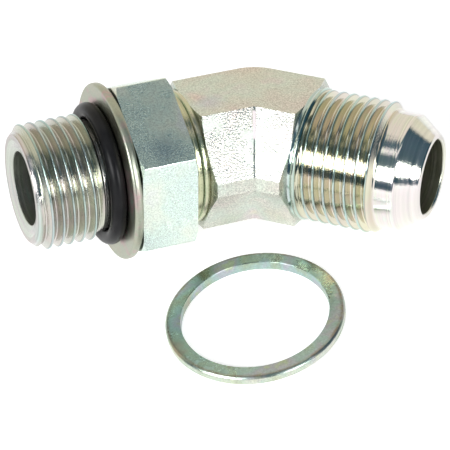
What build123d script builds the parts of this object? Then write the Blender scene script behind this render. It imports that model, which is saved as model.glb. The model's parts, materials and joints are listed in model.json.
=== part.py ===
"""A 45 degree adjustable elbow adapter for hydraulic tube.

One arm is a 37 degree flare end for a tube nut. The other is a parallel-thread stud end for
a port: a locknut pushes a back-up washer and an O-ring along the stud's neck and against the
port's face. A loose retaining ring, which goes round the O-ring in the port, lies beside it.

The fitting is drawn about the crossing of its two bores, with the bend in the XY plane and
both arms towards -Y. It is then laid down as it comes to rest. All sizes are in millimetres.
"""

import os
from math import cos, hypot, radians, sin, tan

from build123d import *

os.makedirs("parts", exist_ok=True)

# ---------------------------------------------------------------- driving sizes

bend_angle = 45.0
bore_diameter = 12.3
drill_point_angle = 118.0
drill_chisel_width = 1.2

# Forged body: an eight-sided bar, with a flat land where the two dies part
forging_height = 21.3
forging_width = 26.3
flat_width = 13.5
die_land_height = 2.4
outer_bend_radius = 7.4
inner_bend_fillet = 0.8
facing_slope = 15.0

# Port arm, from the bore crossing outwards
port_body_length = 12.4
port_thread_diameter = 20.955
port_neck_diameter = 18.5
port_collar_diameter = 22.4
port_collar_length = 0.9
port_step_diameter = 21.5
port_step_length = 1.15
rear_thread_length = 9.45
port_neck_length = 5.7
thread_run_out = 0.6
front_thread_length = 11.44
port_end_chamfer = 1.48
port_mouth_diameter = 16.0
port_mouth_depth = 0.57

# Flare arm, from the bore crossing outwards
flare_body_length = 10.3
flare_thread_diameter = 22.225
flare_collar_diameter = 22.5
flare_collar_length = 0.9
flare_relief_diameter = 21.4
flare_relief_length = 0.6
flare_thread_length = 13.0
flare_neck_diameter = 19.55
flare_neck_length = 3.0
flare_seat_angle = 37.0
flare_seat_length = 3.8
flare_mouth_chamfer = 0.3

# Hexagon locknut
nut_across_flats = 27.0
nut_thickness = 9.37
nut_corner_chamfer = 0.47
nut_chamfer_angle = 30.0
nut_mouth_chamfer = 0.5
nut_back_travel = 0.95
nut_turn = -2.4
thread_clearance = 0.08

# Back-up washer and O-ring on the neck
washer_diameter = 29.56
washer_thickness = 1.5
washer_rim_chamfer = 0.4
washer_clearance = 0.1
washer_gap = 0.23
ring_section = 2.62
ring_section_sides = 20
ring_clearance = 0.06
ring_gap = 0.02

# Retaining ring, loose beside the fitting
retainer_width = 2.55
retainer_thickness = 1.7
retainer_clearance = 0.17
retainer_outer_chamfer = 0.35
retainer_inner_chamfer = 0.15
retainer_offset = (-1.38, -30.5)

# ---------------------------------------------------------------- places along the arms

port_thread_radius = port_thread_diameter / 2
port_neck_radius = port_neck_diameter / 2
port_collar_end = port_body_length + port_collar_length
port_step_end = port_collar_end + port_step_length
rear_thread_end = port_step_end + rear_thread_length
front_thread_start = rear_thread_end + port_neck_length
port_end = front_thread_start + front_thread_length

flare_thread_radius = flare_thread_diameter / 2
flare_neck_radius = flare_neck_diameter / 2
flare_collar_end = flare_body_length + flare_collar_length
flare_thread_start = flare_collar_end + flare_relief_length
flare_thread_end = flare_thread_start + flare_thread_length
flare_seat_start = flare_thread_end + flare_neck_length
flare_end = flare_seat_start + flare_seat_length
flare_nose_radius = flare_neck_radius - flare_seat_length * tan(radians(flare_seat_angle))

nut_rear = port_step_end + nut_back_travel
nut_front = nut_rear + nut_thickness
nut_corner_radius = nut_across_flats / 2 / cos(radians(30))
washer_rear = nut_front + washer_gap
washer_front = washer_rear + washer_thickness
ring_centre = washer_front + ring_gap + ring_section / 2
ring_radius = port_neck_radius + ring_clearance + ring_section / 2
retainer_inner_radius = ring_radius + ring_section / 2 + retainer_clearance
retainer_outer_radius = retainer_inner_radius + retainer_width

# ---------------------------------------------------------------- arms and their planes

up = Vector(0, 0, 1)
half_bend = radians(bend_angle / 2)
port_direction = Vector(-cos(half_bend), -sin(half_bend), 0)
flare_direction = Vector(cos(half_bend), -sin(half_bend), 0)
port_axis = Axis((0, 0, 0), port_direction)
flare_axis = Axis((0, 0, 0), flare_direction)

# A section plane looks out along its arm, with Y up. A profile plane is the bend plane,
# with X outwards along the arm and Y as the radius.
port_section = Plane(origin=(0, 0, 0), x_dir=up.cross(port_direction), z_dir=port_direction)
flare_section = Plane(origin=(0, 0, 0), x_dir=up.cross(flare_direction), z_dir=flare_direction)
port_profile = Plane(origin=(0, 0, 0), x_dir=port_direction, z_dir=up)
flare_profile = Plane(origin=(0, 0, 0), x_dir=flare_direction, z_dir=up)

# The outer side of the bend turns about a pivot near the crossing of the bores, so that the
# edge of the flats has the outer bend radius. Both arms start on planes through the pivot.
pivot_offset = outer_bend_radius - flat_width / 2
arm_start = pivot_offset * tan(half_bend)
pivot = port_section.from_local_coords((pivot_offset, 0, arm_start))
pivot_axis = Axis(pivot, up * -1)

# ---------------------------------------------------------------- elbow body


def turned_outline(*points):
    """Return the sketch between an arm's axis and an outline of (along, radius) points."""
    with BuildSketch() as outline:
        with BuildLine():
            Polyline((points[0][0], 0), *points, (points[-1][0], 0), close=True)
        make_face()
    return outline.sketch


def facing_cut(face_at, inner_radius):
    """Return what the lathe takes off an arm's end: all beyond a face and a shallow cone."""
    reach = forging_width
    lean = (reach - inner_radius) * tan(radians(facing_slope))
    return turned_outline(
        (face_at, inner_radius),
        (face_at - lean, reach),
        (face_at + reach, reach),
    )


with BuildSketch() as forging_section:
    with BuildLine():
        Polyline(
            (0, forging_height / 2),
            (flat_width / 2, forging_height / 2),
            (forging_width / 2, die_land_height / 2),
            (forging_width / 2, 0),
        )
        mirror(about=Plane.XZ)
        mirror(about=Plane.YZ)
    make_face()

port_collar_radius = port_collar_diameter / 2
port_step_radius = port_step_diameter / 2
port_thread_depth = port_thread_radius - port_neck_radius
port_outline = (
    (0, port_neck_radius),
    (port_body_length, port_neck_radius),
    (port_body_length, port_collar_radius),
    (port_collar_end, port_collar_radius),
    (port_collar_end, port_step_radius),
    (port_step_end, port_step_radius),
    (port_step_end, port_thread_radius),
    (rear_thread_end - port_thread_depth, port_thread_radius),
    (rear_thread_end, port_neck_radius),
    (front_thread_start, port_neck_radius),
    (front_thread_start + thread_run_out, port_thread_radius),
    (port_end - port_end_chamfer, port_thread_radius),
    (port_end, port_thread_radius - port_end_chamfer),
)

flare_collar_radius = flare_collar_diameter / 2
flare_relief_radius = flare_relief_diameter / 2
flare_thread_depth = flare_thread_radius - flare_neck_radius
flare_last_crest = flare_thread_end - flare_thread_depth
flare_outline = (
    (0, flare_neck_radius),
    (flare_body_length, flare_neck_radius),
    (flare_body_length, flare_collar_radius),
    (flare_collar_end, flare_collar_radius),
    (flare_collar_end, flare_relief_radius),
    (flare_thread_start, flare_relief_radius),
    (flare_thread_start, flare_thread_radius),
    (flare_last_crest, flare_thread_radius),
    (flare_thread_end, flare_neck_radius),
    (flare_seat_start, flare_neck_radius),
    (flare_end, flare_nose_radius),
)

bore_radius = bore_diameter / 2
flare_mouth_radius = bore_radius + flare_mouth_chamfer
chisel_radius = drill_chisel_width / 2
bore_point_depth = (bore_radius - chisel_radius) / tan(radians(drill_point_angle / 2))

with BuildPart() as elbow_body:
    # Forged bar: two straight arms that meet in a mitre on the inner side
    with BuildSketch(port_section.offset(arm_start)):
        add(forging_section.sketch)
    extrude(amount=port_body_length - arm_start)
    with BuildSketch(flare_section.offset(arm_start)):
        add(forging_section.sketch)
    extrude(amount=flare_body_length - arm_start)

    # Outer side: the section past the pivot turns from one arm to the other
    with BuildSketch(port_section.offset(arm_start)):
        add(forging_section.sketch)
        with Locations((pivot_offset, 0)):
            Rectangle(
                forging_width * 2,
                forging_height,
                align=(Align.MAX, Align.CENTER),
                mode=Mode.INTERSECT,
            )
    revolve(axis=pivot_axis, revolution_arc=bend_angle)
    mitre = elbow_body.edges().filter_by_position(Axis.X, -0.01, 0.01)
    fillet(mitre.filter_by_position(Axis.Y, -forging_width, 0), inner_bend_fillet)

    # Ends faced on the lathe, with a shallow cone that trims the forging's corners
    with BuildSketch(port_profile):
        add(facing_cut(port_body_length, port_collar_radius))
    revolve(axis=port_axis, mode=Mode.SUBTRACT)
    with BuildSketch(flare_profile):
        add(facing_cut(flare_body_length, flare_collar_radius))
    revolve(axis=flare_axis, mode=Mode.SUBTRACT)

    # Port stud: collar, step, rear thread under the nut, neck, front thread
    with BuildSketch(port_profile):
        add(turned_outline(*port_outline))
    revolve(axis=port_axis)

    # Flare end: collar, relief, thread, neck, and the cone that seals on the tube
    with BuildSketch(flare_profile):
        add(turned_outline(*flare_outline))
    revolve(axis=flare_axis)

    # Bores drilled from both ends, each past the crossing by the drill's point. The port's
    # mouth is dished, and the flare's has a small chamfer.
    for profile, axis, end, mouth_radius, mouth_depth in (
        (port_profile, port_axis, port_end, port_mouth_diameter / 2, port_mouth_depth),
        (flare_profile, flare_axis, flare_end, flare_mouth_radius, flare_mouth_chamfer),
    ):
        with BuildSketch(profile):
            add(
                turned_outline(
                    (-bore_point_depth, chisel_radius),
                    (0, bore_radius),
                    (end - mouth_depth, bore_radius),
                    (end, mouth_radius),
                )
            )
        revolve(axis=axis, mode=Mode.SUBTRACT)

# ---------------------------------------------------------------- locknut

nut_bore_radius = port_thread_radius + thread_clearance
nut_face_radius = nut_corner_radius - nut_corner_chamfer / tan(radians(nut_chamfer_angle))
with BuildPart() as locknut:
    with BuildSketch(port_section.offset(nut_rear)):
        RegularPolygon(nut_corner_radius, 6, rotation=nut_turn + 30)
    extrude(amount=nut_thickness)

    # A cone at each face takes off the corners only
    with BuildSketch(port_profile):
        add(
            turned_outline(
                (nut_rear, nut_face_radius),
                (nut_rear + nut_corner_chamfer, nut_corner_radius),
                (nut_front - nut_corner_chamfer, nut_corner_radius),
                (nut_front, nut_face_radius),
            )
        )
    revolve(axis=port_axis, mode=Mode.INTERSECT)
    with BuildSketch(port_profile):
        add(
            turned_outline(
                (nut_rear, nut_bore_radius + nut_mouth_chamfer),
                (nut_rear + nut_mouth_chamfer, nut_bore_radius),
                (nut_front - nut_mouth_chamfer, nut_bore_radius),
                (nut_front, nut_bore_radius + nut_mouth_chamfer),
            )
        )
    revolve(axis=port_axis, mode=Mode.SUBTRACT)

# ---------------------------------------------------------------- back-up washer and O-ring

with BuildPart() as backup_washer:
    with BuildSketch(port_section.offset(washer_rear)):
        Circle(washer_diameter / 2)
        Circle(port_neck_radius + washer_clearance, mode=Mode.SUBTRACT)
    extrude(amount=washer_thickness)
    washer_rims = backup_washer.edges().filter_by(GeomType.CIRCLE).sort_by(SortBy.RADIUS)
    chamfer(washer_rims[-2:], washer_rim_chamfer)

with BuildPart() as o_ring:
    # The round section is drawn with short sides, which stay within 0.02 mm of the circle
    with BuildSketch(port_profile):
        with Locations((ring_centre, ring_radius)):
            RegularPolygon(ring_section / 2, ring_section_sides)
    revolve(axis=port_axis)

# ---------------------------------------------------------------- how the fitting lies

# It lies on three points: the nut's lowest corner at its rear chamfer, the last full crest
# of the flare thread, and the lower outer edge of the forging at the flare end.


def lowest_on_rim(direction, along, radius, down):
    """Return the lowest point of a turned rim, given the arm and the way down."""
    across = down - direction * down.dot(direction)
    return direction * along + across.normalized() * radius


nut_corner_places = [
    port_section.from_local_coords(
        (
            nut_corner_radius * cos(radians(nut_turn + 30 + 60 * corner)),
            nut_corner_radius * sin(radians(nut_turn + 30 + 60 * corner)),
            nut_rear + nut_corner_chamfer,
        )
    )
    for corner in range(6)
]
edge_radius = hypot(flat_width / 2, forging_height / 2)
edge_end = flare_body_length - (edge_radius - flare_collar_radius) * tan(radians(facing_slope))
forging_point = flare_section.from_local_coords((flat_width / 2, -forging_height / 2, edge_end))

down = up * -1
for _ in range(20):
    nut_point = max(nut_corner_places, key=down.dot)
    thread_point = lowest_on_rim(flare_direction, flare_last_crest, flare_thread_radius, down)
    normal = (thread_point - nut_point).cross(forging_point - nut_point).normalized()
    down = normal * (-1 if normal.Z > 0 else 1)

floor_up = down * -1
floor = Plane(
    origin=floor_up * nut_point.dot(floor_up),
    x_dir=Vector(1, 0, 0) - floor_up * floor_up.X,
    z_dir=floor_up,
)

# ---------------------------------------------------------------- retaining ring, flat on the floor

retainer_plane = Plane(
    origin=floor.from_local_coords((*retainer_offset, 0)), x_dir=floor.x_dir, z_dir=floor_up
)
with BuildPart() as retaining_ring:
    with BuildSketch(retainer_plane):
        Circle(retainer_outer_radius)
        Circle(retainer_inner_radius, mode=Mode.SUBTRACT)
    extrude(amount=retainer_thickness)
    retainer_rims = retaining_ring.edges().filter_by(GeomType.CIRCLE).sort_by(SortBy.RADIUS)
    chamfer(retainer_rims[-2:], retainer_outer_chamfer)
    chamfer(retainer_rims[:2], retainer_inner_chamfer)

# ---------------------------------------------------------------- lay down and write

# The floor becomes Z = 0, and the middle of the bounding box becomes the origin.
pieces = {
    "elbow_body": elbow_body,
    "locknut": locknut,
    "backup_washer": backup_washer,
    "o_ring": o_ring,
    "retaining_ring": retaining_ring,
}
to_floor = floor.location.inverse()
bounds = Compound([piece.part.moved(to_floor) for piece in pieces.values()]).bounding_box()
middle = bounds.center()
lay_down = Location((-middle.X, -middle.Y, 0)) * to_floor

for name, piece in pieces.items():
    piece.part.label = name
    piece.part.move(lay_down)
    export_step(piece.part, f"parts/{name}.step")
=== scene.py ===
"""Looks of a 45 degree elbow adapter fitting for hydraulic tube.

The elbow's stud end carries a locknut, a back-up washer and an O-ring, its other end is
threaded for a flared tube, and a loose retaining ring lies beside it. The fitting's sizes are
in millimetres along the two arms, the studio's are in metres, and every mesh is placed in the
frame's metres.
"""

import json
import logging
import math
from dataclasses import dataclass
from enum import Enum

import bmesh
import bpy
from bmesh.types import BMEdge, BMesh, BMVert
from bpy.types import Material, Node, NodeSocket, Object
from mathutils import Matrix, Vector

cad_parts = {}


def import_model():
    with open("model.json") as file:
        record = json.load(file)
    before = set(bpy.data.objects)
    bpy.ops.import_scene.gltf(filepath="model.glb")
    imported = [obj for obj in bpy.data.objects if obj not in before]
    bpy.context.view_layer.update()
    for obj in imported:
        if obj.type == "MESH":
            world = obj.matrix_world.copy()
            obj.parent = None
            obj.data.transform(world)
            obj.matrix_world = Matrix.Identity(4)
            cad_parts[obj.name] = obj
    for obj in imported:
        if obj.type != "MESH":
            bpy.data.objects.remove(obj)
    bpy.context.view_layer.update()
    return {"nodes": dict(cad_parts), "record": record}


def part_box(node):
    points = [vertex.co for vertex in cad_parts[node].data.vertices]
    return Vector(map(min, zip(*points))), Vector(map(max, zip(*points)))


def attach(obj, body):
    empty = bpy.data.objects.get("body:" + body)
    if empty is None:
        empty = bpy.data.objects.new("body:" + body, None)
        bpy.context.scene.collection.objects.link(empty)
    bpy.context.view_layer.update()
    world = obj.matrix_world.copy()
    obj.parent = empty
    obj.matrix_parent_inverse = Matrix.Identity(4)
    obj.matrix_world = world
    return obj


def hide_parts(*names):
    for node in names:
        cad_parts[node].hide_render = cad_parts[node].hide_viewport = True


MM = 0.001
WELD = 2e-4  # millimetres
TURN_STEPS = 120
THREAD_PITCH = 1.8143
NOISE_MIDDLE = (0.3, 0.7)  # most of a noise's values lie between these
AIM = Vector((0.0, 0.0, 0.012))  # metres, what the lamps and cards face

log = logging.getLogger("fitting")

Colour = tuple[float, float, float]
Stops = tuple[tuple[float, Colour], ...]


class Sheen(Enum):
    """How a finish turns its noise into roughness."""

    BRIGHT = (0.06, 0.17)
    DULLED = (0.14, 0.30)
    SATIN = (0.22, 0.34)
    MATT = (0.32, 0.46)


# ---------------------------------------------------------------- places and profiles


@dataclass(frozen=True)
class Corner:
    """A corner of a turned outline, with its rounding."""

    along: float
    radius: float
    rounding: float = 0.0


@dataclass(frozen=True)
class Arm:
    """A straight arm of the elbow: Z runs outwards from the bend, Y is the bend's upper side."""

    centre: Vector
    direction: Vector
    up: Vector

    @property
    def to_frame(self) -> Matrix:
        """Matrix from the arm's own axes, in metres, to the frame."""
        side = self.up.cross(self.direction)
        turn = Matrix((side, self.up, self.direction)).transposed()
        return Matrix.Translation(self.centre) @ turn.to_4x4()

    def place(self, bm: BMesh) -> None:
        """Move a mesh from the arm's own axes, in millimetres, to the frame."""
        matrix = self.to_frame @ Matrix.Scale(MM, 4)
        bmesh.ops.transform(bm, matrix=matrix, verts=bm.verts[:])


def read_arms(record: dict) -> tuple[Arm, Arm]:
    """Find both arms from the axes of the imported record's threads.

    Args:
        record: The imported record, with the mounts port_thread and flare_thread.

    Returns:
        The port arm and the flare arm, which share the bend's centre.
    """
    mounts = {mount["name"]: mount for mount in record["mounts"]}
    port, flare = mounts["port_thread"], mounts["flare_thread"]
    port_way = Vector(port["axis"]).normalized()
    flare_way = Vector(flare["axis"]).normalized()
    up = port_way.cross(flare_way).normalized()
    start, other = Vector(port["pos_m"]), Vector(flare["pos_m"])
    square = up.cross(flare_way)
    centre = start + port_way * ((other - start).dot(square) / port_way.dot(square))
    return Arm(centre, port_way, up), Arm(centre, flare_way, up)


def round_off(
    bm: BMesh,
    geom: list,
    offset: float,
    segments: int = 3,
    affect: str = "EDGES",
    clamp_overlap: bool = False,
) -> None:
    """Round the edges of a mesh, or the vertices of a wire.

    Args:
        bm: The mesh.
        geom: The edges or vertices.
        offset: The rounding's reach, in the mesh's own units.
        segments: Steps of each rounding.
        affect: What is rounded, EDGES or VERTICES.
        clamp_overlap: Whether roundings that would meet are held back.
    """
    bmesh.ops.bevel(
        bm,
        geom=geom,
        offset=offset,
        offset_type="OFFSET",
        segments=segments,
        profile=0.5,
        affect=affect,
        clamp_overlap=clamp_overlap,
        material=-1,
    )


def draw_outline(corners: tuple[Corner, ...]) -> BMesh:
    """Draw a turned outline as a rounded wire in the plane Y = 0.

    Args:
        corners: The outline's corners in order.

    Returns:
        A new mesh that holds the wire.
    """
    bm = bmesh.new()
    verts = [bm.verts.new((c.radius, 0.0, c.along)) for c in corners]
    for first, second in zip(verts, verts[1:]):
        bm.edges.new((first, second))
    for vert, corner in zip(verts, corners):
        if corner.rounding:
            round_off(bm, [vert], corner.rounding, segments=4, affect="VERTICES")
    return bm


def spin_round(bm: BMesh, rise: float = 0.0) -> None:
    """Spin a wire through a full circle about Z.

    Args:
        bm: The mesh, which holds the wire alone.
        rise: How far the wire climbs in the turn. It leaves the turn open.
    """
    bmesh.ops.spin(
        bm,
        geom=bm.verts[:] + bm.edges[:],
        cent=(0, 0, 0),
        axis=(0, 0, 1),
        dvec=(0, 0, rise / TURN_STEPS),
        angle=math.tau,
        steps=TURN_STEPS,
        use_merge=not rise,
        use_duplicate=False,
    )


def join_mesh(bm: BMesh, part: BMesh) -> None:
    """Move one mesh into another and free it.

    Args:
        bm: The mesh that receives the part.
        part: The mesh that is used up.
    """
    passing = bpy.data.meshes.new("passing")
    part.to_mesh(passing)
    part.free()
    bm.from_mesh(passing)
    bpy.data.meshes.remove(passing)


def turn_outline(bm: BMesh, corners: tuple[Corner, ...]) -> None:
    """Turn an outline through a full circle about Z.

    Args:
        bm: The mesh that receives the turned surface.
        corners: The outline's corners in order.
    """
    part = draw_outline(corners)
    spin_round(part)
    join_mesh(bm, part)


def ease(value: float) -> float:
    """Smooth step from 0 to 1."""
    held = min(1.0, max(0.0, value))
    return held * held * (3.0 - 2.0 * held)


@dataclass(frozen=True)
class Thread:
    """A right-hand thread that is cut on an arm as one continuous helix.

    Its crest and root widths are shares of the pitch. One of its crests stands at crest_at on
    the arm's X side, and the helix starts lead_in pitches ahead of the cut.
    """

    start: float
    end: float
    crest_radius: float
    depth: float
    crest_at: float
    start_radius: float
    run_out: float
    end_radius: float
    crest_width: float = 0.11
    root_width: float = 0.12
    rounding: float = 0.10
    lead_in: float = 1.5

    def limit(self, along: float, radius: float) -> float:
        """Radius that the cut leaves where the helix would have another.

        Args:
            along: Place along the arm.
            radius: Radius of the full thread there.

        Returns:
            The radius after the run-out at the start and the chamfer at the end.
        """
        share = ease((along - self.start) / self.run_out)
        blended = self.start_radius + (radius - self.start_radius) * share
        return min(blended, self.end_radius + (self.end - along))

    def section(self, centre: float) -> tuple[Corner, ...]:
        """Outline of one pitch, from root to root.

        Args:
            centre: Where its crest stands along the arm.

        Returns:
            The section's corners.
        """
        half, root = THREAD_PITCH / 2, self.crest_radius - self.depth
        crest, valley = self.crest_width * half, half - self.root_width * half
        return (
            Corner(centre - half, root),
            Corner(centre - valley, root, self.rounding),
            Corner(centre - crest, self.crest_radius, self.rounding),
            Corner(centre + crest, self.crest_radius, self.rounding),
            Corner(centre + valley, root, self.rounding),
            Corner(centre + half, root),
        )

    def cut(self, bm: BMesh) -> None:
        """Sweep one pitch of the section along the helix and trim both ends.

        Args:
            bm: The mesh that receives the thread's surface.
        """
        ahead = math.ceil((self.crest_at - self.start) / THREAD_PITCH + self.lead_in)
        turns = math.ceil((self.end - self.start) / THREAD_PITCH + 2 * self.lead_in)
        part = draw_outline(self.section(self.crest_at - THREAD_PITCH * ahead))
        spin_round(part, rise=THREAD_PITCH)
        turn = part.verts[:] + part.edges[:] + part.faces[:]
        for count in range(1, turns):
            made = bmesh.ops.duplicate(part, geom=turn)["geom"]
            bmesh.ops.translate(
                part,
                vec=(0, 0, count * THREAD_PITCH),
                verts=[g for g in made if isinstance(g, BMVert)],
            )
        for vert in part.verts:
            along = min(self.end, max(self.start, vert.co.z))
            radius = math.hypot(vert.co.x, vert.co.y)
            scale = self.limit(along, radius) / radius
            vert.co = (vert.co.x * scale, vert.co.y * scale, along)
        bmesh.ops.remove_doubles(part, verts=part.verts[:], dist=WELD / 2)
        join_mesh(bm, part)


def finish_mesh(
    bm: BMesh, name: str, sharp_degrees: float = 40.0, flat_faces: bool = True
) -> Object:
    """Make a shown object of a finished bmesh, whose place is in its vertices.

    Args:
        bm: The mesh in the frame's metres. It is freed.
        name: The piece's name.
        sharp_degrees: Edges that turn more than this stay crisp.
        flat_faces: Whether shading follows the larger face at each rounded edge.

    Returns:
        The new object, at the origin.
    """
    mesh = bpy.data.meshes.new(name)
    for face in bm.faces:
        face.smooth = True
    bm.to_mesh(mesh)
    bm.free()
    mesh.set_sharp_from_angle(angle=math.radians(sharp_degrees))
    piece = bpy.data.objects.new(name, mesh)
    bpy.context.scene.collection.objects.link(piece)
    if flat_faces:
        shading = piece.modifiers.new("flat_faces", "WEIGHTED_NORMAL")
        shading.weight = 100
        shading.keep_sharp = True
    log.info("%s: %d faces", name, len(mesh.polygons))
    return piece


def close_and_place(bm: BMesh, arm: Arm) -> None:
    """Weld a turned mesh, point its faces outwards and place it on an arm.

    Args:
        bm: The mesh in the arm's millimetres.
        arm: The arm that it sits on.
    """
    bmesh.ops.remove_doubles(bm, verts=bm.verts[:], dist=WELD)
    bmesh.ops.dissolve_degenerate(bm, dist=WELD / 20, edges=bm.edges[:])
    bmesh.ops.recalc_face_normals(bm, faces=bm.faces[:])
    arm.place(bm)


# ---------------------------------------------------------------- finishes


class NodeSheet:
    """The node tree of a material or world, with short ways to add and join nodes."""

    def __init__(self, owner: Material | bpy.types.World) -> None:
        """Start on the nodes of a material or world."""
        owner.use_nodes = True
        self.owner = owner
        self.tree = owner.node_tree

    def add(self, kind: str, **settings: object) -> Node:
        """Add a node and set its attributes.

        Args:
            kind: The node's type name, without the prefix ShaderNode.
            **settings: Attributes of the node.

        Returns:
            The new node.
        """
        node = self.tree.nodes.new("ShaderNode" + kind)
        for key, value in settings.items():
            setattr(node, key, value)
        return node

    def feed(self, slot: NodeSocket, value: object) -> None:
        """Give an input another node's output, a colour, a vector or a number.

        Args:
            slot: The input.
            value: What it gets.
        """
        if isinstance(value, NodeSocket):
            self.tree.links.new(value, slot)
        else:
            slot.default_value = (*value, 1.0) if slot.type == "RGBA" else value

    def shade(self, inputs: dict[str, object]) -> Material:
        """Feed the material's Principled shader.

        Args:
            inputs: What each named input gets.

        Returns:
            The finished material.
        """
        shader = self.tree.nodes["Principled BSDF"]
        for key, value in inputs.items():
            self.feed(shader.inputs[key], value)
        return self.owner

    def place(self, arm: Arm | None) -> NodeSocket:
        """Give coordinates in metres, on an arm's own axes where there is one.

        Args:
            arm: The arm, or None for the frame's axes.

        Returns:
            The vector socket.
        """
        source = self.add("TexCoord").outputs["Object"]
        if arm is None:
            return source
        inverse = arm.to_frame.inverted()
        mapping = self.add("Mapping", vector_type="POINT")
        mapping.inputs["Location"].default_value = inverse.to_translation()
        mapping.inputs["Rotation"].default_value = inverse.to_euler()
        self.feed(mapping.inputs["Vector"], source)
        return mapping.outputs["Vector"]

    def math(self, kind: str, *values: object) -> NodeSocket:
        """Add a Math node.

        Args:
            kind: The operation.
            *values: Sockets or numbers.

        Returns:
            The value socket.
        """
        node = self.add("Math", operation=kind)
        for slot, value in zip(node.inputs, values):
            self.feed(slot, value)
        return node.outputs["Value"]

    def vector(self, kind: str, *values: object) -> Node:
        """Add a Vector Math node.

        Args:
            kind: The operation.
            *values: Sockets or fixed vectors.

        Returns:
            The node.
        """
        node = self.add("VectorMath", operation=kind)
        for slot, value in zip(node.inputs, values):
            self.feed(slot, value)
        return node

    def radius(self, where: NodeSocket) -> NodeSocket:
        """Distance from the Z axis of a place, in metres."""
        flat = self.vector("MULTIPLY", where, (1.0, 1.0, 0.0)).outputs["Vector"]
        return self.vector("LENGTH", flat).outputs["Value"]

    def noise(
        self, where: NodeSocket, size: float, detail: float = 2.0, rough: float = 0.5
    ) -> NodeSocket:
        """Add noise whose features are about as large as given.

        Args:
            where: A vector socket for solid noise, or a value socket for rings.
            size: The feature size in millimetres.
            detail: Octaves.
            rough: Weight of the finer octaves.

        Returns:
            The noise value socket.
        """
        rings = where.type == "VALUE"
        node = self.add("TexNoise", noise_dimensions="1D" if rings else "3D")
        node.inputs["Scale"].default_value = 1.0 / (size * MM)
        node.inputs["Detail"].default_value = detail
        node.inputs["Roughness"].default_value = rough
        self.feed(node.inputs["W" if rings else "Vector"], where)
        return node.outputs["Fac"]

    def span(
        self,
        value: NodeSocket,
        start: float,
        end: float,
        low: float = 0.0,
        high: float = 1.0,
        kind: str = "LINEAR",
    ) -> NodeSocket:
        """Map what lies between two values onto a range, held at its ends.

        Args:
            value: The value socket.
            start: Value that gives low.
            end: Value that gives high.
            low: Result at the start.
            high: Result at the end.
            kind: The way between them.

        Returns:
            The value socket.
        """
        node = self.add("MapRange", interpolation_type=kind)
        for slot, part in zip(node.inputs, (value, start, end, low, high)):
            self.feed(slot, part)
        return node.outputs["Result"]

    def near(self, value: NodeSocket, centre: float, reach: float) -> NodeSocket:
        """Fade from 1 where a value is at its centre to 0 where it is a reach away.

        Args:
            value: The value socket, in metres.
            centre: The centre in millimetres.
            reach: The reach in millimetres.

        Returns:
            The share socket.
        """
        away = self.math("ABSOLUTE", self.math("SUBTRACT", value, centre * MM))
        return self.span(away, reach * MM, 0.0, kind="SMOOTHSTEP")

    def spread(self, noise: NodeSocket, low: float = 0.0, high: float = 1.0) -> NodeSocket:
        """Map the middle of a noise onto a range, held at its ends."""
        return self.span(noise, *NOISE_MIDDLE, low, high)

    def ramp(self, value: NodeSocket, stops: Stops) -> NodeSocket:
        """Map a value to colours.

        Args:
            value: The value socket.
            stops: Places from 0 to 1 with their linear colours.

        Returns:
            The colour socket.
        """
        node = self.add("ValToRGB")
        elements = node.color_ramp.elements
        while len(elements) < len(stops):
            elements.new(0.5)
        for element, (spot, colour) in zip(elements, stops):
            element.position = spot
            element.color = (*colour, 1.0)
        self.feed(node.inputs["Fac"], value)
        return node.outputs["Color"]

    def blend(
        self, share: object, first: object, second: object, kind: str = "MIX"
    ) -> NodeSocket:
        """Blend two colours.

        Args:
            share: The second colour's share, a socket or a number.
            first: The first colour, a socket or a colour.
            second: The second colour, a socket or a colour.
            kind: The blend type.

        Returns:
            The colour socket.
        """
        node = self.add("Mix", data_type="RGBA", blend_type=kind)
        for slot, value in zip((0, 6, 7), (share, first, second)):
            self.feed(node.inputs[slot], value)
        return node.outputs[2]

    def times(self, first: object, second: object) -> NodeSocket:
        """Multiply two colours."""
        return self.blend(1.0, first, second, "MULTIPLY")

    def bump(
        self, height: NodeSocket, depth: float, below: NodeSocket | None = None
    ) -> NodeSocket:
        """Turn a height into a normal.

        Args:
            height: The height socket, from 0 to 1.
            depth: The full height in millimetres.
            below: The normal that it is added to, if there is one.

        Returns:
            The normal socket.
        """
        node = self.add("Bump")
        node.inputs["Strength"].default_value = 1.0
        node.inputs["Distance"].default_value = depth * MM
        self.feed(node.inputs["Height"], height)
        if below is not None:
            self.feed(node.inputs["Normal"], below)
        return node.outputs["Normal"]


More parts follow.
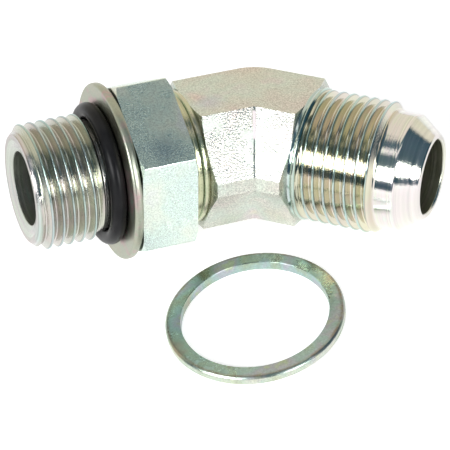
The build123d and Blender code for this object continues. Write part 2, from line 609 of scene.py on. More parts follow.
@dataclass(frozen=True)
class TurnedPlate:
    """Bright zinc plate on a turned surface, with the tool's rings.

    Its layers are further tints by distance from the axis, in millimetres, from the bore out to the
    thread's crests. They darken the bore as painted shade and paint a shadow line under the crests.
    """

    name: str
    tints: Stops
    layers: Stops
    sheen: Sheen = Sheen.BRIGHT
    ring_size: float = 0.42
    ring_depth: float = 0.026
    ring_shade: float = 0.16
    ring_slant: float = 0.63
    band_size: float = 1.1
    cloud_size: float = 7.0
    cloud_share: float = 0.6
    grain_size: float = 0.25
    grain_depth: float = 0.008
    bore_radius: float = 6.15
    bore_reach: float = 0.1
    bore_dulling: float = 0.22

    def layered(self, sheet: NodeSheet, radius: NodeSocket) -> NodeSocket:
        """Tint the surface by its distance from the axis.

        Args:
            sheet: The material's nodes.
            radius: The distance from the axis.

        Returns:
            The colour socket.
        """
        low, high = self.layers[0][0], self.layers[-1][0]
        stops = tuple(((spot - low) / (high - low), tint) for spot, tint in self.layers)
        return sheet.ramp(sheet.span(radius, low * MM, high * MM), stops)

    def material(self, arm: Arm) -> Material:
        """Build the material on an arm's axes.

        Args:
            arm: The arm whose axis the rings go round.

        Returns:
            The material.
        """
        sheet = NodeSheet(bpy.data.materials.new(self.name))
        where = sheet.place(arm)
        radius = sheet.radius(where)
        split = sheet.add("SeparateXYZ")
        sheet.feed(split.inputs["Vector"], where)
        slant = sheet.math("MULTIPLY", radius, self.ring_slant)
        path = sheet.math("ADD", split.outputs["Z"], slant)
        rings = sheet.noise(path, self.ring_size, 3.0, 0.6)
        bands = sheet.math("MULTIPLY", sheet.noise(path, self.band_size, 1.0), 1 - self.cloud_share)
        clouds = sheet.math("MULTIPLY", sheet.noise(where, self.cloud_size), self.cloud_share)
        tint = sheet.ramp(sheet.spread(sheet.math("ADD", clouds, bands)), self.tints)
        tint = sheet.times(tint, self.layered(sheet, radius))
        tint = sheet.times(tint, sheet.spread(rings, 1.0 - self.ring_shade))
        bore = sheet.near(radius, self.bore_radius, self.bore_reach)
        dull = sheet.math("MULTIPLY", bore, self.bore_dulling)
        grain = sheet.bump(sheet.noise(where, self.grain_size, 3.0), self.grain_depth)
        return sheet.shade(
            {
                "Base Color": tint,
                "Roughness": sheet.math("ADD", sheet.spread(rings, *self.sheen.value), dull),
                "Metallic": 1.0,
                "Normal": sheet.bump(rings, self.ring_depth, grain),
            }
        )


@dataclass(frozen=True)
class StainAndPaintedLight:
    """A soft patch of another tint, on the axes that its plate's pattern follows. Some are stains,
    others are painted highlights and painted shade.
    """

    centre: tuple[float, float, float]
    reach: float
    tint: Colour


@dataclass(frozen=True)
class WearBand:
    """A worn band round an edge, broken up along its length."""

    radius: float
    reach: float
    tint: Colour


@dataclass(frozen=True)
class SatinPlate:
    """Satin zinc plate on a forged, drawn or stamped surface."""

    name: str
    tints: Stops
    sheen: Sheen = Sheen.SATIN
    cloud_size: float = 9.0
    grain_size: float = 0.26
    grain_depth: float = 0.040
    wave_size: float = 6.0
    wave_depth: float = 0.05
    mottle: float = 0.20
    speck: Colour = (0.10, 0.10, 0.07)
    speck_share: float = 0.5
    speck_spread: float = 2.2
    speck_edge: tuple[float, float] = (0.68, 0.76)
    metallic: float = 1.0
    # Stains, painted highlights and painted shade laid over the tint
    stains_and_painted_light: tuple[StainAndPaintedLight, ...] = ()
    wear: tuple[WearBand, ...] = ()
    ragged_size: float = 2.2

    def weathered_and_painted_light(self, sheet: NodeSheet, where: NodeSocket, tint: NodeSocket) -> NodeSocket:
        """Lay the stains, the painted highlights, the painted shade and the worn bands over the
        plate's tint.

        Args:
            sheet: The material's nodes.
            where: The coordinates.
            tint: The plate's tint.

        Returns:
            The colour socket.
        """
        ragged = sheet.noise(where, self.ragged_size, 4.0, 0.65)
        for stain_and_light in self.stains_and_painted_light:
            centre = [c * MM for c in stain_and_light.centre]
            away = sheet.vector("DISTANCE", where, centre).outputs["Value"]
            share = sheet.near(away, 0.0, stain_and_light.reach)
            share = sheet.math("MULTIPLY", share, sheet.spread(ragged, 0.7))
            tint = sheet.blend(share, tint, sheet.times(tint, stain_and_light.tint))
        for band in self.wear:
            share = sheet.near(sheet.radius(where), band.radius, band.reach)
            share = sheet.math("MULTIPLY", share, sheet.spread(ragged, 0.1))
            tint = sheet.blend(share, tint, band.tint)
        return tint

    def material(self, arm: Arm | None = None) -> Material:
        """Build the material.

        Args:
            arm: The arm whose axes the pattern follows, or None for the frame's.

        Returns:
            The material.
        """
        sheet = NodeSheet(bpy.data.materials.new(self.name))
        where = sheet.place(arm)
        cloud = sheet.noise(where, self.cloud_size, 3.0, 0.55)
        grain = sheet.noise(where, self.grain_size, 3.0, 0.6)
        shade = sheet.spread(sheet.noise(where, self.grain_size), 1.0 - 2 * self.mottle)
        specks = sheet.noise(where, self.grain_size * self.speck_spread, 4.0, 0.7)
        wave = sheet.bump(sheet.noise(where, self.wave_size, 1.0), self.wave_depth)
        tint = self.weathered_and_painted_light(sheet, where, sheet.ramp(sheet.spread(cloud), self.tints))
        fine = sheet.span(specks, *self.speck_edge, 0.0, self.speck_share)
        return sheet.shade(
            {
                "Base Color": sheet.blend(fine, sheet.times(tint, shade), self.speck),
                "Roughness": sheet.spread(cloud, *self.sheen.value),
                "Metallic": self.metallic,
                "Normal": sheet.bump(grain, self.grain_depth, wave),
            }
        )


@dataclass(frozen=True)
class SealRubber:
    """Satin black nitrile rubber with a little bloom."""

    name: str = "nitrile_rubber"
    tints: Stops = ((0.0, (0.005, 0.005, 0.006)), (1.0, (0.012, 0.012, 0.013)))
    roughness: tuple[float, float] = (0.26, 0.36)
    specular: float = 0.12
    cloud_size: float = 3.0
    grain_size: float = 0.2
    grain_depth: float = 0.002

    def material(self) -> Material:
        """Build the material.

        Returns:
            The material.
        """
        sheet = NodeSheet(bpy.data.materials.new(self.name))
        where = sheet.place(None)
        cloud = sheet.noise(where, self.cloud_size, 3.0)
        return sheet.shade(
            {
                "Base Color": sheet.ramp(sheet.spread(cloud), self.tints),
                "Roughness": sheet.spread(cloud, *self.roughness),
                "Specular IOR Level": self.specular,
                "Normal": sheet.bump(sheet.noise(where, self.grain_size), self.grain_depth),
            }
        )


FORGED = SatinPlate(
    "forged_plate",
    (
        (0.0, (0.78, 0.71, 0.66)),
        (0.35, (0.77, 0.77, 0.69)),
        (0.65, (0.75, 0.82, 0.73)),
        (1.0, (0.84, 0.76, 0.76)),
    ),
    stains_and_painted_light=(
        StainAndPaintedLight((-1.3, 12.2, 24.7), 3.6, (0.90, 0.86, 1.06)),
        StainAndPaintedLight((-3.6, 13.6, 24.7), 3.0, (1.04, 0.90, 0.84)),
        StainAndPaintedLight((6.0, 22.5, 22.0), 7.5, (1.04, 0.94, 0.92)),
        # Khaki tint and painted shade that darken the two lower faces
        StainAndPaintedLight((-0.7, 6.0, 6.0), 4.6, (0.84, 0.85, 0.77)),
        StainAndPaintedLight((7.7, 4.7, 6.0), 4.6, (0.90, 0.91, 0.83)),
        # Painted highlight along the crease between the lower faces
        StainAndPaintedLight((3.7, 6.3, 6.0), 1.7, (1.16, 1.12, 0.92)),
    ),
)
STRIP_PLATE = SatinPlate(
    "strip_plate",
    ((0.0, (0.86, 0.76, 0.78)), (1.0, (0.92, 0.86, 0.88))),
    sheen=Sheen.MATT,
    grain_depth=0.010,
    mottle=0.05,
    metallic=0.25,
)
NUT_PLATE = SatinPlate(
    "nut_plate",
    (
        (0.0, (0.82, 0.95, 0.92)),
        (0.4, (0.84, 0.98, 0.90)),
        (0.7, (0.92, 0.99, 0.88)),
        (1.0, (0.94, 0.95, 0.96)),
    ),
    grain_size=0.24,
    grain_depth=0.044,
    mottle=0.17,
    speck_share=0.15,
    # A darker bluish patch on the nut's upper face
    stains_and_painted_light=(StainAndPaintedLight((10.8, 8.5, 19.9), 4.0, (0.62, 0.66, 0.74)),),
)
WASHER_PLATE = SatinPlate(
    "washer_plate",
    (
        (0.0, (0.44, 0.42, 0.33)),
        (0.5, (0.43, 0.46, 0.37)),
        (0.75, (0.54, 0.40, 0.39)),
        (1.0, (0.39, 0.49, 0.40)),
    ),
    sheen=Sheen.MATT,
    cloud_size=5.0,
    grain_depth=0.006,
    mottle=0.08,
    speck_share=0.2,
)
RING_PLATE = SatinPlate(
    "ring_plate",
    (
        (0.0, (0.46, 0.42, 0.33)),
        (0.3, (0.42, 0.52, 0.41)),
        (0.6, (0.42, 0.56, 0.53)),
        (0.85, (0.49, 0.50, 0.55)),
        (1.0, (0.50, 0.58, 0.42)),
    ),
    cloud_size=4.5,
    grain_depth=0.012,
    mottle=0.12,
    speck=(0.08, 0.06, 0.03),
    speck_share=0.7,
    wear=(WearBand(14.2, 0.45, (0.30, 0.24, 0.17)), WearBand(14.75, 0.35, (0.82, 0.84, 0.66))),
)
FLARE_PLATE = TurnedPlate(
    "turned_flare",
    (
        (0.0, (0.74, 0.73, 0.62)),
        (0.4, (0.79, 0.80, 0.71)),
        (0.7, (0.82, 0.76, 0.75)),
        (1.0, (0.72, 0.81, 0.73)),
    ),
    layers=(
        # Bore, darkened as painted shade, then cone and neck
        (6.1, (0.44, 0.45, 0.36)),
        (6.301, (1.0, 1.0, 1.0)),
        (9.79, (1.0, 1.0, 1.0)),
        # Flanks of the thread
        (10.116, (0.86, 0.82, 0.70)),
        (10.769, (0.86, 0.84, 0.74)),
        # Painted shadow line under the crests, and the crests
        (10.894, (0.48, 0.46, 0.40)),
        (10.994, (0.58, 0.80, 0.82)),
        (11.12, (0.76, 0.88, 0.88)),
    ),
)
PORT_PLATE = TurnedPlate(
    "turned_stud",
    (
        (0.0, (0.62, 0.64, 0.57)),
        (0.4, (0.70, 0.73, 0.66)),
        (0.7, (0.71, 0.66, 0.66)),
        (1.0, (0.62, 0.72, 0.68)),
    ),
    layers=(
        # Bore, darkened as painted shade, and dished mouth
        (6.1, (0.38, 0.41, 0.36)),
        (6.277, (0.80, 0.82, 0.80)),
        (7.951, (0.88, 0.90, 0.88)),
        # End face
        (8.17, (0.66, 0.65, 0.62)),
        (9.002, (0.78, 0.73, 0.71)),
        # Neck and flanks of the thread
        (9.22, (1.0, 1.0, 1.0)),
        (9.444, (0.82, 0.81, 0.75)),
        (10.192, (0.88, 0.88, 0.81)),
        # Painted shadow line under the crests, and the crests
        (10.302, (0.48, 0.47, 0.45)),
        (10.39, (0.58, 0.82, 0.84)),
        (10.478, (0.82, 0.92, 0.92)),
        # Collar
        (10.598, (0.86, 0.84, 0.60)),
        (11.196, (0.92, 0.92, 0.70)),
    ),
    sheen=Sheen.DULLED,
    ring_depth=0.034,
    grain_depth=0.030,
    ring_shade=0.26,
)


def dress(piece: Object, material: Material, body: str, slot: str, *nodes: str) -> Object:
    """Give a piece its finish and join it to its body.

    Args:
        piece: The finished piece.
        material: Its material.
        body: The body that it rides on.
        slot: The record's material slot. It is not used.
        *nodes: The solids that it stands for.

    Returns:
        The same piece.
    """
    piece.data.materials.clear()
    piece.data.materials.append(material)
    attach(piece, body)
    if nodes:
        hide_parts(*nodes)
    return piece


# ---------------------------------------------------------------- sub-assemblies


@dataclass
class ElbowBody:
    """The forged elbow with its turned stud end and flare end.

    Places along the arms and radii are in millimetres. The mitre's two ends are pairs of a
    distance from the bend and a height. The other pairs are a start and an end.
    """

    port: Arm
    flare: Arm
    solid: Object
    bore_radius: float = 6.15
    # The forging
    flat_degrees: float = 0.4
    sharp_degrees: float = 12.0
    bore_margin: float = 0.5
    cut_margin: float = 0.01
    edge_rounding: float = 0.28
    # The strip, on a share of the way between the inner mitre's ends
    mitre_top: tuple[float, float] = (6.75, 10.65)
    mitre_low: tuple[float, float] = (13.15, 1.2)
    strip_span: tuple[float, float] = (0.06, 0.46)
    strip_width: float = 0.46
    strip_depth: float = 0.46
    strip_rounding: float = 0.05
    # The stud end
    port_cut: float = 12.38
    port_spigot_radius: float = 10.9
    port_collar: tuple[float, float] = (12.52, 13.22)
    port_collar_radius: float = 11.2
    port_groove: tuple[float, float] = (13.40, 14.42)
    port_groove_radius: float = 10.72
    port_step_radius: float = 10.0
    port_thread_radius: float = 10.4775
    port_thread_depth: float = 1.16
    rear_thread: tuple[float, float] = (14.75, 23.9)
    front_thread: tuple[float, float] = (29.6, 41.04)
    port_neck_radius: float = 9.25
    port_end_radius: float = 8.98
    port_mouth_radius: float = 8.0
    port_mouth_floor: float = 40.47
    # The flare end
    flare_cut: float = 10.28
    flare_spigot_radius: float = 11.1
    flare_step: Corner = Corner(10.75, 11.02, 0.1)
    flare_collar: tuple[float, float] = (11.05, 11.2)
    flare_collar_radius: float = 11.24
    flare_root_radius: float = 10.72
    flare_thread_radius: float = 11.1125
    flare_thread_depth: float = 1.12
    flare_thread: tuple[float, float] = (11.62, 24.8)
    flare_neck_radius: float = 9.775
    cone: tuple[float, float] = (27.8, 31.42)
    cone_radius: float = 7.05
    flare_nose: Corner = Corner(31.6, 6.6, 0.08)
    flare_mouth: float = 31.25

    def forging(self) -> Object:
        """Cut the forged middle out of a copy of the solid and round its edges.

        Returns:
            The forged piece.
        """
        bm = bmesh.new()
        bm.from_mesh(self.solid.data)
        bmesh.ops.remove_doubles(bm, verts=bm.verts[:], dist=WELD * MM)
        for arm, at in self.cuts():
            bmesh.ops.bisect_plane(
                bm,
                geom=bm.verts[:] + bm.edges[:] + bm.faces[:],
                dist=WELD * MM,
                plane_co=arm.centre + arm.direction * at * MM,
                plane_no=arm.direction,
                clear_outer=True,
                clear_inner=False,
            )
            rim = [e for e in bm.edges if e.is_boundary]
            bmesh.ops.bridge_loops(bm, edges=rim)
        bmesh.ops.dissolve_limit(
            bm,
            angle_limit=math.radians(self.flat_degrees),
            use_dissolve_boundaries=False,
            verts=bm.verts[:],
            edges=bm.edges[:],
        )
        edges = [e for e in bm.edges if self.is_outer_edge(e)]
        round_off(bm, edges, self.edge_rounding * MM, clamp_overlap=True)
        return finish_mesh(bm, "elbow_forging", sharp_degrees=30.0)

    def cuts(self) -> tuple[tuple[Arm, float], ...]:
        """Each arm with the place where the forging ends on it."""
        return (self.port, self.port_cut), (self.flare, self.flare_cut)

    def is_outer_edge(self, edge: BMEdge) -> bool:
        """Tell whether an edge is a sharp one of the forging's outside.

        Args:
            edge: An edge in the frame.

        Returns:
            True where it is to be rounded.
        """
        if not edge.is_manifold or not edge.is_convex:
            return False
        if edge.calc_face_angle(0.0) < math.radians(self.sharp_degrees):
            return False
        for arm, at in self.cuts():
            for vert in edge.verts:
                offset = (vert.co - arm.centre) / MM
                along = offset.dot(arm.direction)
                away = (offset - arm.direction * along).length
                if along > at - self.cut_margin or away < self.bore_radius + self.bore_margin:
                    return False
        return True

    def mitre_strip(self) -> Object:
        """Lay the narrow trimmed strip down the upper part of the inner mitre.

        Returns:
            The strip.
        """
        up = self.port.up
        inner = (self.port.direction + self.flare.direction).normalized()
        slant = math.sin(self.port.direction.angle(self.flare.direction) / 2)
        top, foot = (
            self.port.centre + (inner * (reach / slant) + up * height) * MM
            for reach, height in (self.mitre_top, self.mitre_low)
        )
        along = (foot - top).normalized()
        side = up.cross(inner).normalized()
        start, end = (top.lerp(foot, share) for share in self.strip_span)
        turn = Matrix((side, along, side.cross(along))).transposed().to_4x4()
        width, depth = self.strip_width * MM, self.strip_depth * MM
        size = Matrix.Diagonal((width, (end - start).length, depth, 1.0))
        bm = bmesh.new()
        bmesh.ops.create_cube(bm, size=1.0)
        place = Matrix.Translation((start + end) / 2) @ turn @ size
        bmesh.ops.transform(bm, matrix=place, verts=bm.verts[:])
        round_off(bm, bm.edges[:], self.strip_rounding * MM, segments=2)
        return finish_mesh(bm, "elbow_mitre_strip")

    def stud_end(self) -> Object:
        """Turn the port end: collar, step, rear thread, neck, front thread and bore.

        Returns:
            The stud end.
        """
        cut, bore, neck = self.port_cut, self.bore_radius, self.port_neck_radius
        collar, groove = self.port_collar_radius, self.port_groove_radius
        rear = Thread(
            *self.rear_thread,
            crest_radius=self.port_thread_radius,
            depth=self.port_thread_depth,
            crest_at=15.33,
            start_radius=self.port_step_radius,
            run_out=0.9,
            end_radius=neck,
        )
        front = Thread(
            *self.front_thread,
            crest_radius=self.port_thread_radius,
            depth=self.port_thread_depth,
            crest_at=29.836,
            start_radius=neck,
            run_out=0.8,
            end_radius=self.port_end_radius,
        )
        shoulder = (
            Corner(cut, bore),
            Corner(cut, self.port_spigot_radius),
            Corner(self.port_collar[0], self.port_spigot_radius),
            Corner(self.port_collar[0], collar, 0.1),
            Corner(self.port_collar[1], collar, 0.22),
            Corner(self.port_groove[0], groove, 0.08),
            Corner(self.port_groove[1], groove, 0.30),
            Corner(rear.start, rear.start_radius),
        )
        mouth = (
            Corner(front.end, front.end_radius),
            Corner(front.end, self.port_mouth_radius, 0.12),
            Corner(self.port_mouth_floor, bore, 0.10),
            Corner(cut, bore),
        )
        bm = bmesh.new()
        rear.cut(bm)
        front.cut(bm)
        turn_outline(bm, shoulder)
        turn_outline(bm, (Corner(rear.end, neck), Corner(front.start, neck)))
        turn_outline(bm, mouth)
        close_and_place(bm, self.port)
        return finish_mesh(bm, "elbow_stud_end")

    def flare_end(self) -> Object:
        """Turn the flare end: collar, relief, thread, neck, sealing cone and bore.

        Returns:
            The flare end.
        """
        cut, bore, neck = self.flare_cut, self.bore_radius, self.flare_neck_radius
        thread = Thread(
            *self.flare_thread,
            crest_radius=self.flare_thread_radius,
            depth=self.flare_thread_depth,
            crest_at=11.896,
            start_radius=self.flare_root_radius,
            run_out=1.0,
            end_radius=neck,
        )
        shoulder = (
            Corner(cut, bore),
            Corner(cut, self.flare_spigot_radius),
            self.flare_step,
            Corner(self.flare_collar[0], self.flare_collar_radius, 0.08),
            Corner(self.flare_collar[1], self.flare_collar_radius, 0.06),
            Corner(thread.start, thread.start_radius),
        )
        nose = (
            Corner(thread.end, neck),
            Corner(self.cone[0], neck, 0.12),
            Corner(self.cone[1], self.cone_radius, 0.25),
            self.flare_nose,
            Corner(self.flare_mouth, bore, 0.1),
            Corner(cut, bore),
        )
        bm = bmesh.new()
        thread.cut(bm)
        turn_outline(bm, shoulder)
        turn_outline(bm, nose)
        close_and_place(bm, self.flare)
        return finish_mesh(bm, "elbow_flare_end")

    def build(self) -> None:
        """Build and dress the whole elbow."""
        slot = "plated_body"
        dress(self.forging(), FORGED.material(), "elbow", slot, "elbow_body")
        dress(self.mitre_strip(), STRIP_PLATE.material(), "elbow", slot)
        dress(self.stud_end(), PORT_PLATE.material(self.port), "elbow", slot)
        dress(self.flare_end(), FLARE_PLATE.material(self.flare), "elbow", slot)


@dataclass
class Locknut:
    """The hexagon locknut, with its corners turned off at both faces."""

    arm: Arm
    rear: float = 15.4
    front: float = 24.77
    across_flats: float = 27.0
    bore_radius: float = 10.5575
    mouth: float = 0.5
    corner_cut: float = 0.47
    cut_degrees: float = 30.0
    turn_degrees: float = -2.4
    edge_rounding: float = 0.18
    side_cuts: int = 15

    def outside(self, bm: BMesh, corner: float, face_radius: float) -> tuple[list, list]:
        """Raise the six sides between their two curved rims.

        Args:
            bm: The nut's mesh.
            corner: Radius at the hexagon's corners.
            face_radius: Radius where the corners' cones start.

        Returns:
            The edges of the rear rim and of the front rim.
        """
        bmesh.ops.create_circle(bm, cap_ends=False, segments=6, radius=corner)
        turn = Matrix.Rotation(math.radians(self.turn_degrees), 3, "Z")
        bmesh.ops.rotate(bm, cent=(0, 0, 0), matrix=turn, verts=bm.verts[:])
        bmesh.ops.subdivide_edges(bm, edges=bm.edges[:], cuts=self.side_cuts)
        for vert in bm.verts:
            vert.co.z = self.rear + self.drop(vert.co.to_2d().length, face_radius)
        rear_rim = bm.edges[:]
        front_rim = self.ring_from(bm, rear_rim)
        for vert in {v for e in front_rim for v in e.verts}:
            vert.co.z = self.front - self.drop(vert.co.to_2d().length, face_radius)
        return rear_rim, front_rim

    def build(self) -> Object:
        """Build and dress the nut.

        Returns:
            The nut.
        """
        corner = self.across_flats / 2 / math.cos(math.pi / 6)
        face_radius = corner - self.corner_cut / math.tan(math.radians(self.cut_degrees))
        bm = bmesh.new()
        rear_rim, front_rim = self.outside(bm, corner, face_radius)
        rims = {*rear_rim, *front_rim}
        uprights = [
            e
            for e in bm.edges
            if e not in rims and abs(e.verts[0].co.to_2d().length - corner) < WELD
        ]
        throats = []
        for rim, face, way in ((rear_rim, self.rear, 1), (front_rim, self.front, -1)):
            outer = self.ring_from(bm, rim)
            self.set_ring(outer, face, face_radius, face_radius)
            inner = self.ring_from(bm, outer)
            self.set_ring(inner, face, self.bore_radius + self.mouth)
            throat = self.ring_from(bm, inner)
            self.set_ring(throat, face + way * self.mouth, self.bore_radius)
            throats += throat
        bmesh.ops.bridge_loops(bm, edges=throats)
        round_off(bm, uprights, self.edge_rounding)
        close_and_place(bm, self.arm)
        piece = finish_mesh(bm, "locknut_hexagon", sharp_degrees=24.0)
        return dress(piece, NUT_PLATE.material(self.arm), "nut", "plated_nut", "locknut")

    def drop(self, radius: float, face_radius: float) -> float:
        """How far the corner's cone lies below the face at a radius."""
        return max(0.0, radius - face_radius) * math.tan(math.radians(self.cut_degrees))

    def ring_from(self, bm: BMesh, ring: list) -> list:
        """Extrude a ring of edges.

        Args:
            bm: The nut's mesh.
            ring: The ring's edges.

        Returns:
            The new ring's edges.
        """
        made = bmesh.ops.extrude_edge_only(bm, edges=ring)["geom"]
        verts = {g for g in made if isinstance(g, BMVert)}
        return [e for e in made if isinstance(e, BMEdge) and set(e.verts) <= verts]

    def set_ring(
        self, ring: list, along: float, radius: float, most: float | None = None
    ) -> None:
        """Move a ring to a place and radius.

        Args:
            ring: The ring's edges.
            along: Place along the arm.
            radius: The ring's radius.
            most: Where given, only what lies outside this radius moves in.
        """
        for vert in {v for e in ring for v in e.verts}:
            now = vert.co.to_2d().length
            if most is None or now > most:
                vert.co.x *= radius / now
                vert.co.y *= radius / now
            vert.co.z = along


@dataclass
class SealPair:
    """The back-up washer and the O-ring on the stud's neck."""

    arm: Arm
    washer_rear: float = 25.0
    washer_thickness: float = 1.5
    washer_radius: float = 14.78
    washer_hole: float = 9.35
    washer_rounding: float = 0.55
    hole_rounding: float = 0.12
    ring_centre: float = 27.83
    ring_radius: float = 10.62
    ring_section: float = 2.62
    sides: int = 24

    def washer(self) -> Object:
        """Turn the washer with its rounded rim.

        Returns:
            The washer.
        """
        rear, front = self.washer_rear, self.washer_rear + self.washer_thickness
        outline = (
            Corner(rear, self.washer_hole),
            Corner(rear, self.washer_radius, self.washer_rounding),
            Corner(front, self.washer_radius, self.washer_rounding),
            Corner(front, self.washer_hole, self.hole_rounding),
            Corner(rear, self.washer_hole),
        )
        bm = bmesh.new()
        turn_outline(bm, outline)
        close_and_place(bm, self.arm)
        return finish_mesh(bm, "backup_washer_plate", sharp_degrees=60.0)

    def seal(self) -> Object:
        """Turn the O-ring.

        Returns:
            The O-ring.
        """
        bm = bmesh.new()
        centre = Matrix.Translation((self.ring_radius, 0, self.ring_centre))
        bmesh.ops.create_circle(
            bm,
            cap_ends=False,
            segments=self.sides,
            radius=self.ring_section / 2,
            matrix=centre @ Matrix.Rotation(math.pi / 2, 4, "X"),
        )
        spin_round(bm)
        close_and_place(bm, self.arm)
        return finish_mesh(bm, "o_ring_seal", sharp_degrees=180.0, flat_faces=False)

    def build(self) -> None:
        """Build and dress both pieces."""
        plate, rubber = WASHER_PLATE.material(self.arm), SealRubber().material()
        dress(self.washer(), plate, "seal_pair", "plated_washer", "backup_washer")
        dress(self.seal(), rubber, "seal_pair", "seal_rubber", "o_ring")


@dataclass
class RetainingRing:
    """The loose retaining ring, which lies flat beside the elbow."""

    width: float = 2.55
    outer_chamfer: float = 0.35
    edge_rounding: float = 0.10
    inner_rounding: float = 0.16

    def build(self) -> Object:
        """Build and dress the ring.

        Returns:
            The ring.
        """
        low, high = (Vector(corner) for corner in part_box("retaining_ring"))
        outer, top = (high.x - low.x) / 2 / MM, (high.z - low.z) / MM
        inner, cut, soft = outer - self.width, self.outer_chamfer, self.edge_rounding
        outline = (
            Corner(top / 2, inner),
            Corner(0.0, inner, self.inner_rounding),
            Corner(0.0, outer - cut, soft),
            Corner(cut, outer, soft),
            Corner(top - cut, outer, soft),
            Corner(top, outer - cut, soft),
            Corner(top, inner, self.inner_rounding),
            Corner(top / 2, inner),
        )
        foot = ((low + high) / 2).to_2d().to_3d() + Vector((0, 0, low.z))
        lay = Arm(foot, Vector((0, 0, 1)), Vector((0, 1, 0)))
        bm = bmesh.new()
        turn_outline(bm, outline)
        close_and_place(bm, lay)
        piece = finish_mesh(bm, "retaining_ring_flat", sharp_degrees=60.0)
        plate = RING_PLATE.material(lay)
        return dress(piece, plate, "elbow", "plated_ring", "retaining_ring")


# ---------------------------------------------------------------- studio


def bare_sheet(name: str) -> NodeSheet:
    """Start a material without any nodes."""
    sheet = NodeSheet(bpy.data.materials.new(name))
    sheet.tree.nodes.clear()
    return sheet


def show_in_metal_only(card: Object, colour: object, sheet: NodeSheet | None = None) -> None:
    """Make a card glow, hide it from all but reflections and leave it out of the part.

    Args:
        card: The card.
        colour: What it glows with, a colour or a socket of the sheet.
        sheet: The material's nodes, where it has some already.
    """
    sheet = sheet or bare_sheet(card.name)
    glow, out = sheet.add("Emission"), sheet.add("OutputMaterial")
    sheet.feed(glow.inputs["Color"], colour)
    sheet.feed(out.inputs["Surface"], glow.outputs["Emission"])
    card.data.materials.append(sheet.owner)
    for ray in ("camera", "diffuse", "transmission", "volume_scatter", "shadow"):
        setattr(card, "visible_" + ray, False)


@dataclass(frozen=True)
class Panel:
    """A rectangle that stands round the fitting and faces it."""

    name: str
    azimuth: float
    elevation: float
    width: float
    height: float
    distance: float

    def facing(self, axis: str) -> Matrix:
        """Stand it in its place, with azimuth 0 in front and 90 on the right.

        Args:
            axis: Which of its axes points at the fitting.

        Returns:
            The matrix of its place.
        """
        a, e = math.radians(self.azimuth), math.radians(self.elevation)
        way = Vector((math.sin(a) * math.cos(e), -math.cos(a) * math.cos(e), math.sin(e)))
        turn = (-way).to_track_quat(axis, "Y").to_matrix().to_4x4()
        return Matrix.Translation(AIM + way * self.distance) @ turn


@dataclass(frozen=True)
class Softbox(Panel):
    """A soft rectangular lamp."""

    level: float

    def build(self) -> None:
        """Add the lamp, with its power from the level of its face."""
        data = bpy.data.lights.new(self.name, "AREA")
        data.shape = "RECTANGLE"
        data.size, data.size_y = self.width, self.height
        data.energy = self.level * self.width * self.height * math.pi
        lamp = bpy.data.objects.new(self.name, data)
        lamp.matrix_world = self.facing("-Z")
        bpy.context.scene.collection.objects.link(lamp)


@dataclass(frozen=True)
class Card(Panel):
    """A flat card that only shows in the fitting's metal."""

    colour: Colour

    def build(self) -> None:
        """Lay a square, size it and turn it to face the fitting."""
        bm = bmesh.new()
        bmesh.ops.create_grid(bm, x_segments=1, y_segments=1, size=0.5)
        size = Matrix.Diagonal((self.width, self.height, 1.0, 1.0))
        bmesh.ops.transform(bm, matrix=self.facing("Z") @ size, verts=bm.verts[:])
        show_in_metal_only(finish_mesh(bm, self.name), self.colour)


@dataclass(frozen=True)
class Tent:
    """A wide dark dome with a pale back, which only the metal sees."""

    name: str = "tent"
    radius: float = 2.2
    base: tuple[float, float, float] = (0.0, 0.0, -0.002)
    low_colour: Colour = (0.035, 0.085, 0.125)
    high_colour: Colour = (0.105, 0.165, 0.200)
    back_colour: Colour = (0.93, 0.88, 0.76)
    rise_way: tuple[float, float, float] = (0.0, 0.0, 1.0)
    rise: tuple[float, float] = (0.25, 0.75)
    back_way: tuple[float, float, float] = (-0.25, 1.0, 0.0)
    back_edge: tuple[float, float] = (0.20, 0.34)

    def build(self) -> None:
        """Cut the lower half off a sphere and tone it from low to high and to the back."""
        bm = bmesh.new()
        bmesh.ops.create_uvsphere(bm, u_segments=48, v_segments=24, radius=self.radius)
        bmesh.ops.bisect_plane(
            bm,
            geom=bm.verts[:] + bm.edges[:] + bm.faces[:],
            plane_co=self.base,
            plane_no=(0, 0, -1),
            clear_outer=True,
        )
        sheet = bare_sheet(self.name)
        where = sheet.place(None)
        tone: object = self.low_colour
        for colour, way, (start, end) in (
            (self.high_colour, self.rise_way, self.rise),
            (self.back_colour, self.back_way, self.back_edge),
        ):
            along = sheet.vector("DOT_PRODUCT", where, way).outputs["Value"]
            start, end = start * self.radius, end * self.radius
            share = sheet.span(along, start, end, kind="SMOOTHSTEP")
            tone = sheet.blend(share, tone, colour)
        show_in_metal_only(finish_mesh(bm, self.name), tone, sheet)


def by_ray(sheet: NodeSheet, level: float, extra: dict[str, float]) -> NodeSocket:
    """Pick a level by the kind of ray that asks.

    Args:
        sheet: The nodes of the world or the floor.
        level: The level for every ray.
        extra: What some kinds of ray get on top of it.

    Returns:
        The value socket.
    """
    path = sheet.add("LightPath")
    total: object = level
    for kind, more in extra.items():
        total = sheet.math("MULTIPLY_ADD", path.outputs[f"Is {kind} Ray"], more, total)
    return total


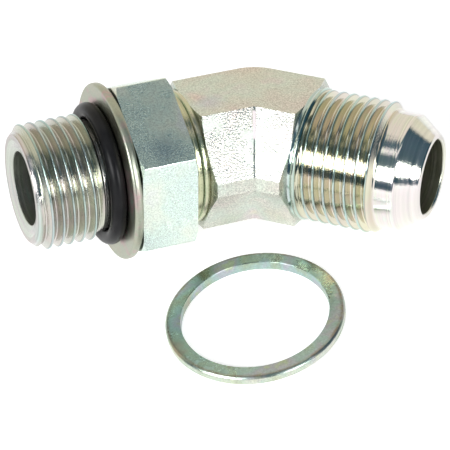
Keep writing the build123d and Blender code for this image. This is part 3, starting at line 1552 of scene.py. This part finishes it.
@dataclass
class Studio:
    """Pale floor, plain soft light and the camera, whose places are in millimetres."""

    floor_half: float = 3.0
    floor_colour: Colour = (0.86, 0.86, 0.86)
    floor_glow: float = 0.52
    floor_sheen: float = 0.40
    ambient: float = 0.38
    camera_place: tuple[float, float, float] = (35.108, -267.374, 241.397)
    camera_aim: tuple[float, float, float] = (-0.471, -2.569, 10.637)
    camera_roll: float = 10.678
    camera_lens: float = 173.591
    parts: tuple[Softbox | Tent | Card, ...] = (
        Softbox("softbox_left", -44, 30.5, 0.56, 0.37, 1.0, 13.0),
        Softbox("softbox_right", 42, 22.5, 0.30, 0.34, 1.0, 17.0),
        Tent(),
        Card("card_top", 0, 81.4, 1.90, 0.26, 1.5, (1.20, 1.18, 1.14)),
    )

    def world(self) -> None:
        """Set a plain world that is white behind the fitting."""
        world = bpy.data.worlds.new("studio")
        bpy.context.scene.world = world
        sheet = NodeSheet(world)
        more = 1.0 - self.ambient
        extra = {"Camera": more, "Glossy": more, "Transmission": more}
        background = sheet.tree.nodes["Background"].inputs
        sheet.feed(background["Color"], (1.0, 1.0, 1.0))
        sheet.feed(background["Strength"], by_ray(sheet, self.ambient, extra))

    def floor(self) -> None:
        """Lay the pale floor, which keeps the fitting's soft shadow."""
        bm = bmesh.new()
        bmesh.ops.create_grid(bm, x_segments=1, y_segments=1, size=self.floor_half)
        floor = finish_mesh(bm, "studio_floor")
        sheet = bare_sheet("studio_floor")
        matt, glow = sheet.add("BsdfDiffuse"), sheet.add("Emission")
        both, out = sheet.add("AddShader"), sheet.add("OutputMaterial")
        extra = {
            "Camera": self.floor_glow,
            "Glossy": self.floor_sheen,
            "Transmission": self.floor_glow,
        }
        sheet.feed(matt.inputs["Color"], self.floor_colour)
        sheet.feed(glow.inputs["Strength"], by_ray(sheet, 0.0, extra))
        sheet.feed(both.inputs[0], matt.outputs["BSDF"])
        sheet.feed(both.inputs[1], glow.outputs["Emission"])
        sheet.feed(out.inputs["Surface"], both.outputs["Shader"])
        floor.data.materials.append(sheet.owner)

    def camera(self) -> None:
        """Set the camera at its viewing angle."""
        data = bpy.data.cameras.new("camera")
        data.lens = self.camera_lens
        data.sensor_width = 36.0
        data.clip_start, data.clip_end = 0.01, 20.0
        camera = bpy.data.objects.new("camera", data)
        place, aim = Vector(self.camera_place) * MM, Vector(self.camera_aim) * MM
        roll = Matrix.Rotation(math.radians(-self.camera_roll), 3, "Z").to_quaternion()
        camera.location = place
        camera.rotation_mode = "QUATERNION"
        camera.rotation_quaternion = (aim - place).to_track_quat("-Z", "Y") @ roll
        bpy.context.scene.collection.objects.link(camera)
        bpy.context.scene.camera = camera

    def build(self) -> None:
        """Build the studio."""
        self.world()
        self.floor()
        for part in self.parts:
            part.build()
        self.camera()
        bpy.context.scene.view_settings.view_transform = "Standard"


def main() -> None:
    """Build the fitting and its studio in order."""
    logging.basicConfig(level=logging.INFO, format="%(name)s: %(message)s")
    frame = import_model()
    port, flare = read_arms(frame["record"])
    ElbowBody(port, flare, frame["nodes"]["elbow_body"]).build()
    Locknut(port).build()
    SealPair(port).build()
    RetainingRing().build()
    Studio().build()


if __name__ == "__main__":
    main()
